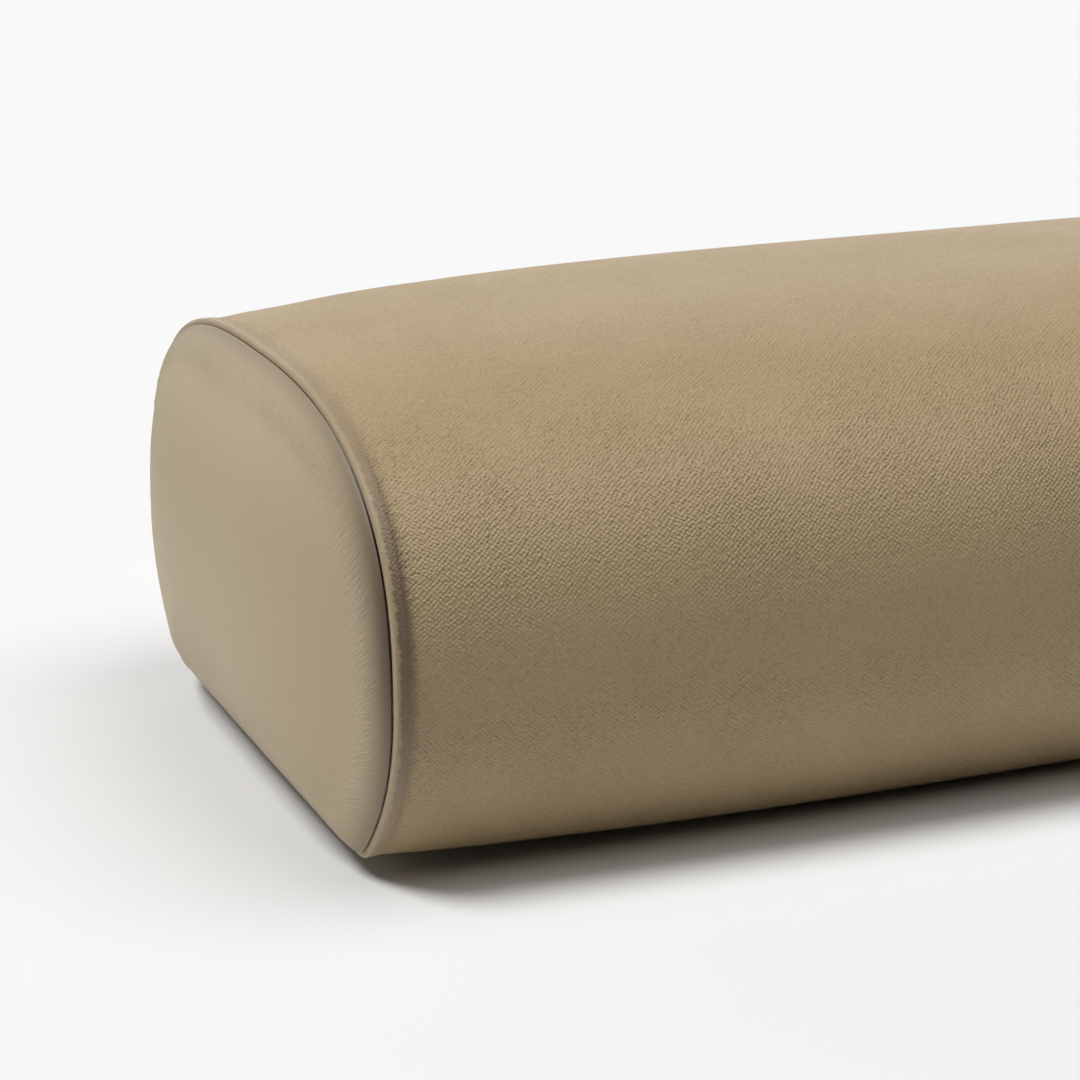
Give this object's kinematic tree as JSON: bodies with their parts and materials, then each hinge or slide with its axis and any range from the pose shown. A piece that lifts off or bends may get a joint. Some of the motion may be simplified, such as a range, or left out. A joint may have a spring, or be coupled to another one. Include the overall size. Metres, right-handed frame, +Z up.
{
  "type": "bolster pillow",
  "caption": "Loaf-shaped support bolster with a flat underside, puffed end panels, a foam core padded with fibre, and an artificial-leather cover that closes with a zip low on the back.",
  "frame": {"origin": "middle of the flat underside, on the surface that the pillow rests on", "axes": "+X along the pillow, towards the end at which the zip closes; the plain front faces -Y and the zip faces +Y; +Z up"},
  "size_m": [0.66, 0.2582, 0.1502],
  "materials": {
    "cover": "soft matt-satin, fine pebble grain",
    "foam": "matt, open cell",
    "fibre": "matt, fluffy",
    "zip_tape": "matt, woven",
    "zip_teeth": "satin, moulded",
    "zip_metal": "antique brass, satin",
    "label": "smooth, woven satin"
  },
  "bodies": {
    "bolster": {"foam_core": "foam", "fibre_wrap": "fibre", "fibre_end_left": "fibre", "fibre_end_right": "fibre", "cover_wrap": "cover", "cover_base": "cover", "cover_end_left": "cover", "cover_end_right": "cover", "zip_tape_upper": "zip_tape", "zip_tape_lower": "zip_tape", "zip_teeth_upper": "zip_teeth", "zip_teeth_lower": "zip_teeth", "zip_top_stop_upper": "zip_metal", "zip_top_stop_lower": "zip_metal", "zip_bottom_stop": "zip_metal", "zip_end_tab_left": "zip_tape", "zip_end_tab_right": "zip_tape", "care_label": "label"},
    "slider": {"zip_slider": "zip_metal"},
    "pull": {"zip_pull": "zip_metal"}
  },
  "joints": [
    {"name": "zip_slide", "type": "slide", "parent": "bolster", "child": "slider", "axis": [-1, 0, 0], "range_m": [0, 0.397]},
    {"name": "pull_hinge", "type": "hinge", "parent": "slider", "child": "pull", "pos_m": [0.19895, 0.12161, 0.02613], "axis": [0, -0.5084, -0.8611], "range_deg": [0, 175]}
  ]
}
